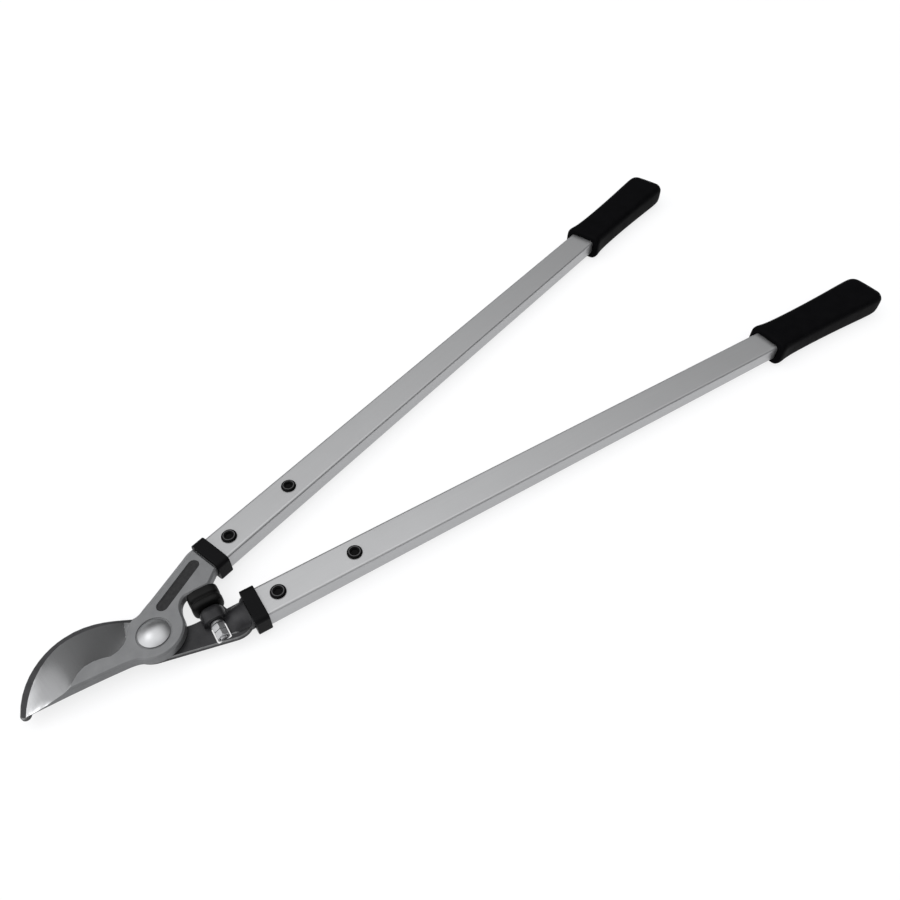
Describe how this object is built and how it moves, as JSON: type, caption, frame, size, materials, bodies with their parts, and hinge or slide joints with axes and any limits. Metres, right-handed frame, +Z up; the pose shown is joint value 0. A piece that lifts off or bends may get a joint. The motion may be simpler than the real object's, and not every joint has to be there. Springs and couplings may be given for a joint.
{
  "type": "lopper",
  "caption": "Bypass lopper with a forged blade and hook, long silver tube handles, black grips and a rubber bumper",
  "frame": {"origin": "on the pivot's axis, at the lower end of the pivot bolt, which is the height of the ground", "axes": "+Y along the handles away from the jaws, +Z up and square to the blade, +X to the hook's side"},
  "size_m": [0.3066, 0.7937, 0.0246],
  "materials": {
    "forged_blade_steel": "forged steel with a satin grey coating, ground bright along the cutting bevel",
    "forged_hook_steel": "forged steel, blackened, slightly glossy",
    "zinc_plated_steel": "bright zinc plate, satin",
    "silver_tube": "drawn and anodised aluminium, satin silver",
    "black_plastic": "moulded plastic, semi-matte",
    "grip_plastic": "moulded plastic, fine texture, semi-matte",
    "black_steel": "blackened steel, satin",
    "rubber": "solid rubber, matte"
  },
  "bodies": {
    "hook_side": {"hook": "forged_hook_steel", "pivot_bolt": "zinc_plated_steel", "pivot_bush": "zinc_plated_steel", "pivot_spring_washer": "zinc_plated_steel", "pivot_nut": "zinc_plated_steel", "bumper": "rubber", "bumper_stud": "zinc_plated_steel", "bumper_washer": "zinc_plated_steel", "bumper_nut": "zinc_plated_steel", "bumper_lock_nut": "zinc_plated_steel", "tube_hook_side": "silver_tube", "collar_hook_side": "black_plastic", "grip_hook_side": "grip_plastic", "screw_hook_side_1": "black_steel", "screw_hook_side_2": "black_steel", "sleeve_nut_hook_side_1": "black_steel", "sleeve_nut_hook_side_2": "black_steel"},
    "blade_side": {"blade": "forged_blade_steel", "tube_blade_side": "silver_tube", "collar_blade_side": "black_plastic", "grip_blade_side": "grip_plastic", "screw_blade_side_1": "black_steel", "screw_blade_side_2": "black_steel", "sleeve_nut_blade_side_1": "black_steel", "sleeve_nut_blade_side_2": "black_steel"}
  },
  "joints": [
    {"name": "jaw_pivot", "type": "hinge", "parent": "hook_side", "child": "blade_side", "pos_m": [0, 0, 0], "axis": [0, 0, 1], "range_deg": [0, 75]}
  ]
}
